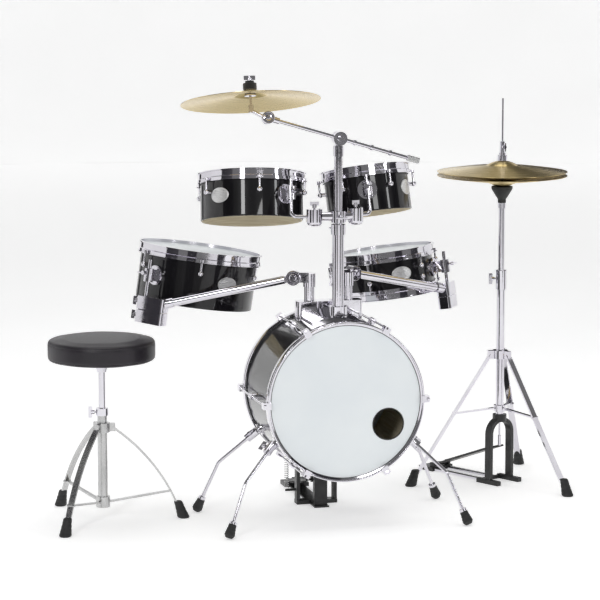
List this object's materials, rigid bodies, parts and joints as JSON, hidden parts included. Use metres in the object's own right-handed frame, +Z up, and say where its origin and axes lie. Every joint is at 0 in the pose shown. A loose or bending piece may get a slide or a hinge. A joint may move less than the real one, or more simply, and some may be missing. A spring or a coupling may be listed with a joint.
{
  "type": "drum kit",
  "caption": "Compact acoustic drum kit: bass drum carrying a post with rack toms, side-arm floor tom and snare, boom crash cymbal, hi-hat stand, pedals and throne.",
  "frame": {"origin": "middle of the kit's footprint box, on the floor", "axes": "+Z up, +X to the right as the audience sees the kit, +Y from the audience toward the drummer"},
  "size_m": [1.6772, 0.8888, 1.3226],
  "materials": {
    "black_lacquer": "gloss piano lacquer over wood",
    "white_film": "smooth white coated film",
    "chrome": "polished",
    "satin_steel": "satin plated",
    "black_cast": "black powder coat",
    "rubber": "moulded matt",
    "cymbal_bronze": "lathed, bright",
    "black_felt": "pressed felt",
    "black_plastic": "moulded",
    "seat_vinyl": "fine grained vinyl"
  },
  "bodies": {
    "stands": {"bass_shell": "black_lacquer", "bass_front_head": "white_film", "bass_rear_head": "white_film", "bass_hoops": "chrome", "bass_hardware": "chrome", "post_base": "chrome", "pedal_frame": "black_cast", "hihat_lower_tube": "chrome", "hihat_tripod": "chrome", "hihat_feet": "rubber", "hihat_arch": "black_cast", "throne_tripod": "satin_steel", "throne_feet": "rubber", "throne_height_lock": "chrome"},
    "spur_front_left": {"spur_rod_front_left": "chrome", "spur_foot_front_left": "rubber"},
    "spur_front_right": {"spur_rod_front_right": "chrome", "spur_foot_front_right": "rubber"},
    "spur_rear_left": {"spur_rod_rear_left": "chrome", "spur_foot_rear_left": "rubber"},
    "spur_rear_right": {"spur_rod_rear_right": "chrome", "spur_foot_rear_right": "rubber"},
    "main_post": {"main_post": "chrome"},
    "upper_post": {"upper_post": "chrome"},
    "tom_clamp": {"tom_clamp": "chrome"},
    "tom12_rod": {"tom12_l_rod": "chrome"},
    "tom12": {"tom12_shell": "black_lacquer", "tom12_head": "white_film", "tom12_hoop_and_lugs": "chrome"},
    "tom10_rod": {"tom10_l_rod": "chrome"},
    "tom10": {"tom10_shell": "black_lacquer", "tom10_head": "white_film", "tom10_hoop_and_lugs": "chrome"},
    "left_arm_post": {"left_arm_post": "chrome"},
    "left_arm": {"left_arm": "chrome"},
    "floor_tom_rod": {"floor_tom_rod": "chrome"},
    "floor_tom": {"floor_tom_shell": "black_lacquer", "floor_tom_head": "white_film", "floor_tom_hoop_and_lugs": "chrome"},
    "right_arm_post": {"right_arm_post": "chrome"},
    "right_arm": {"right_arm": "chrome"},
    "snare_rod": {"snare_rod": "chrome"},
    "snare": {"snare_shell": "black_lacquer", "snare_heads": "white_film", "snare_hoops_and_lugs": "chrome"},
    "strainer_lever": {"snare_strainer_lever": "chrome"},
    "boom": {"boom_rod": "chrome"},
    "tilter": {"crash_tilter": "chrome", "crash_felts": "black_felt"},
    "crash": {"crash_cymbal": "cymbal_bronze"},
    "pedal_board": {"pedal_footboard": "black_cast"},
    "pedal_beater": {"pedal_beater": "chrome"},
    "hihat_upper": {"hihat_upper_tube": "chrome", "hihat_seat_cup": "black_plastic", "hihat_bottom_cymbal": "cymbal_bronze"},
    "hihat_rod": {"hihat_rod": "chrome", "hihat_top_cymbal": "cymbal_bronze"},
    "hihat_board": {"hihat_footboard": "black_cast"},
    "throne_stem": {"throne_stem": "chrome"},
    "throne_seat": {"throne_seat": "seat_vinyl"}
  },
  "joints": [
    {"name": "spur_front_left_turn", "type": "hinge", "parent": "stands", "child": "spur_front_left", "pos_m": [-0.20743, -0.31384, 0.259], "axis": [-0.6433, -0.4015, -0.6518], "range_deg": [-55, 55]},
    {"name": "spur_front_right_turn", "type": "hinge", "parent": "stands", "child": "spur_front_right", "pos_m": [0.19543, -0.31384, 0.259], "axis": [0.6433, -0.4015, -0.6518], "range_deg": [-55, 55]},
    {"name": "spur_rear_left_turn", "type": "hinge", "parent": "stands", "child": "spur_rear_left", "pos_m": [-0.20924, -0.11448, 0.259], "axis": [-0.6998, 0.2924, -0.6518], "range_deg": [-55, 55]},
    {"name": "spur_rear_right_turn", "type": "hinge", "parent": "stands", "child": "spur_rear_right", "pos_m": [0.19724, -0.11448, 0.259], "axis": [0.6998, 0.2924, -0.6518], "range_deg": [-55, 55]},
    {"name": "main_post_turn", "type": "hinge", "parent": "stands", "child": "main_post", "pos_m": [0.004, -0.23631, 0.612], "axis": [0, 0, 1], "range_deg": [-20, 20]},
    {"name": "upper_post_height", "type": "slide", "parent": "main_post", "child": "upper_post", "axis": [0, 0, 1], "range_m": [0, 0.12]},
    {"name": "tom_clamp_turn", "type": "hinge", "parent": "upper_post", "child": "tom_clamp", "pos_m": [0.004, -0.23631, 0.612], "axis": [0, 0, 1], "range_deg": [-15, 15]},
    {"name": "tom12_tilt", "type": "hinge", "parent": "tom_clamp", "child": "tom12_rod", "pos_m": [-0.131, -0.21071, 0.906], "axis": [0.9825, -0.1863, 0], "range_deg": [-15, 15]},
    {"name": "tom12_swivel", "type": "hinge", "parent": "tom12_rod", "child": "tom12", "pos_m": [-0.131, -0.21071, 0.906], "axis": [0.042, 0.2216, 0.9742], "range_deg": [-4, 25]},
    {"name": "tom10_tilt", "type": "hinge", "parent": "tom_clamp", "child": "tom10_rod", "pos_m": [0.1138, -0.19591, 0.906], "axis": [-0.9385, -0.3453, 0], "range_deg": [-15, 15]},
    {"name": "tom10_swivel", "type": "hinge", "parent": "tom10_rod", "child": "tom10", "pos_m": [0.1138, -0.19591, 0.906], "axis": [-0.0762, 0.2074, 0.9753], "range_deg": [-25, 4]},
    {"name": "left_arm_swing", "type": "hinge", "parent": "stands", "child": "left_arm_post", "pos_m": [-0.058, -0.13631, 0.612], "axis": [0, 0, 1], "range_deg": [-10, 10]},
    {"name": "left_arm_tilt", "type": "hinge", "parent": "left_arm_post", "child": "left_arm", "pos_m": [-0.11162, -0.15381, 0.717], "axis": [-0.3256, -0.9455, 0], "range_deg": [-12, 0]},
    {"name": "floor_tom_turn", "type": "hinge", "parent": "left_arm", "child": "floor_tom_rod", "pos_m": [-0.52515, 0.01537, 0.628], "axis": [0.1427, 0.0176, 0.9896], "range_deg": [0, 20]},
    {"name": "floor_tom_height", "type": "slide", "parent": "floor_tom_rod", "child": "floor_tom", "axis": [0.1427, 0.0176, 0.9896], "range_m": [-0.03, 0.03]},
    {"name": "right_arm_swing", "type": "hinge", "parent": "stands", "child": "right_arm_post", "pos_m": [0.06, -0.13631, 0.612], "axis": [0, 0, 1], "range_deg": [-10, 10]},
    {"name": "right_arm_tilt", "type": "hinge", "parent": "right_arm_post", "child": "right_arm", "pos_m": [0.08422, -0.08538, 0.717], "axis": [-0.4617, 0.887, 0], "range_deg": [-12, 0]},
    {"name": "snare_turn", "type": "hinge", "parent": "right_arm", "child": "snare_rod", "pos_m": [0.45905, 0.13503, 0.622], "axis": [-0.1137, 0.0826, 0.9901], "range_deg": [-20, 0]},
    {"name": "snare_height", "type": "slide", "parent": "snare_rod", "child": "snare", "axis": [-0.1137, 0.0826, 0.9901], "range_m": [-0.02, 0.03]},
    {"name": "strainer_throw", "type": "hinge", "parent": "snare", "child": "strainer_lever", "pos_m": [0.13651, 0.33888, 0.62402], "axis": [-0.5342, -0.8453, 0.0092], "range_deg": [0, 60]},
    {"name": "boom_tilt", "type": "hinge", "parent": "upper_post", "child": "boom", "pos_m": [0.004, -0.23631, 1.136], "axis": [0, 1, 0], "range_deg": [-15, 15]},
    {"name": "crash_tilt", "type": "hinge", "parent": "boom", "child": "tilter", "pos_m": [-0.21173, -0.25261, 1.1999], "axis": [0, 0.9724, -0.2334], "range_deg": [-15, 15]},
    {"name": "crash_spin", "type": "hinge", "parent": "tilter", "child": "crash", "pos_m": [-0.261, -0.23909, 1.27893], "axis": [0, 0.2334, 0.9724], "continuous": true},
    {"name": "pedal_board_press", "type": "hinge", "parent": "stands", "child": "pedal_board", "pos_m": [-0.002, 0.24069, 0.02], "axis": [1, 0, 0], "range_deg": [0, 4.3], "stiffness_Nm_per_rad": 8, "springref_deg": -28.65},
    {"name": "pedal_beater_swing", "type": "hinge", "parent": "stands", "child": "pedal_beater", "pos_m": [-0.002, -0.00131, 0.205], "axis": [1, 0, 0], "range_deg": [0, 38]},
    {"name": "hihat_height", "type": "slide", "parent": "stands", "child": "hihat_upper", "axis": [0, 0, 1], "range_m": [-0.08, 0]},
    {"name": "hihat_board_press", "type": "hinge", "parent": "stands", "child": "hihat_board", "pos_m": [0.5126, 0.37782, 0.02], "axis": [0.8829, 0.4695, 0], "range_deg": [0, 2.2], "stiffness_Nm_per_rad": 60, "springref_deg": -9.17},
    {"name": "hihat_rod_pull", "type": "slide", "parent": "stands", "child": "hihat_rod", "axis": [0, 0, 1], "range_m": [-0.0098, 0]},
    {"name": "throne_height", "type": "slide", "parent": "stands", "child": "throne_stem", "axis": [0, 0, 1], "range_m": [-0.07, 0.02]},
    {"name": "throne_spin", "type": "hinge", "parent": "throne_stem", "child": "throne_seat", "pos_m": [-0.6735, -0.07361, 0], "axis": [0, 0, 1], "continuous": true}
  ],
  "couplings": [
    {"joint": "pedal_beater_swing", "follows": "pedal_board_press", "ratio": 8.8},
    {"joint": "hihat_rod_pull", "follows": "hihat_board_press", "m_per_rad": -0.25}
  ]
}
